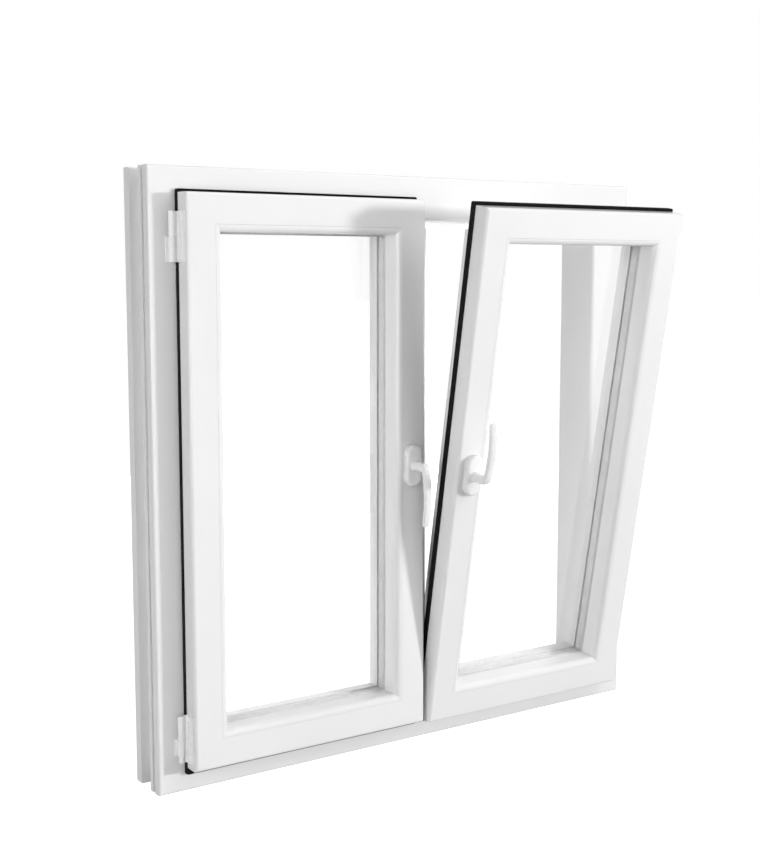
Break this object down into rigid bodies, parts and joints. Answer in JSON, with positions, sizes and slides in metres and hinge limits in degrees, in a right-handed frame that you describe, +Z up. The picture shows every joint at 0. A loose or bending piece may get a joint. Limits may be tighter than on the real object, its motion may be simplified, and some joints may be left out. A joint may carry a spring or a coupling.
{
  "type": "two-leaf tilt and turn window",
  "caption": "White profile window with two inward opening glazed leaves, one shut and one tilted in at its head, each with a lever handle.",
  "frame": {"origin": "under the sill, halfway along it and in the middle of its outer foot, on the face that beds on the wall", "axes": "+X to the right as seen from the room, +Y from the room to the outside, +Z up"},
  "size_m": [1, 0.2811, 1],
  "materials": {
    "pvc_white": "smooth white PVC with a low sheen",
    "seal_black": "matt black rubber seal",
    "glass_clear": "clear float glass",
    "spacer_grey": "satin mill finish",
    "handle_white": "white powder coat",
    "hinge_white": "white powder coat",
    "steel_zinc": "bright zinc plate"
  },
  "bodies": {
    "window": {"frame_left_jamb": "pvc_white", "frame_right_jamb": "pvc_white", "frame_head": "pvc_white", "frame_sill": "pvc_white", "left_astragal": "pvc_white", "right_meeting_strip": "pvc_white", "left_sash_hinge_stile": "pvc_white", "left_bead_hinge_stile": "pvc_white", "left_sash_meeting_stile": "pvc_white", "left_bead_meeting_stile": "pvc_white", "left_sash_top_rail": "pvc_white", "left_bead_top_rail": "pvc_white", "left_sash_bottom_rail": "pvc_white", "left_bead_bottom_rail": "pvc_white", "left_seal": "seal_black", "left_inner_pane": "glass_clear", "left_outer_pane": "glass_clear", "left_glass_spacer": "spacer_grey", "left_handle_rosette": "handle_white", "right_sash_hinge_stile": "pvc_white", "right_bead_hinge_stile": "pvc_white", "right_sash_meeting_stile": "pvc_white", "right_bead_meeting_stile": "pvc_white", "right_sash_top_rail": "pvc_white", "right_bead_top_rail": "pvc_white", "right_sash_bottom_rail": "pvc_white", "right_bead_bottom_rail": "pvc_white", "right_seal": "seal_black", "right_inner_pane": "glass_clear", "right_outer_pane": "glass_clear", "right_glass_spacer": "spacer_grey", "right_handle_rosette": "handle_white", "upper_hinge_frame_half": "hinge_white", "upper_hinge_sash_half": "hinge_white", "lower_hinge_frame_half": "hinge_white", "lower_hinge_sash_half": "hinge_white", "right_corner_bearing": "steel_zinc", "right_leaf_lug": "steel_zinc", "right_stay_frame_plate": "steel_zinc", "right_stay_leaf_plate": "steel_zinc", "right_stay_arm": "steel_zinc"},
    "left_handle": {"left_handle_lever": "handle_white"},
    "right_handle": {"right_handle_lever": "handle_white"}
  },
  "joints": [
    {"name": "left_handle_turn", "type": "hinge", "parent": "window", "child": "left_handle", "pos_m": [-0.035, -0.117, 0.5055], "axis": [0, 1, 0], "range_deg": [0, 90]},
    {"name": "right_handle_turn", "type": "hinge", "parent": "window", "child": "right_handle", "pos_m": [0.035, -0.19487, 0.49282], "axis": [0, 0.9854, 0.1702], "range_deg": [0, 180]}
  ]
}
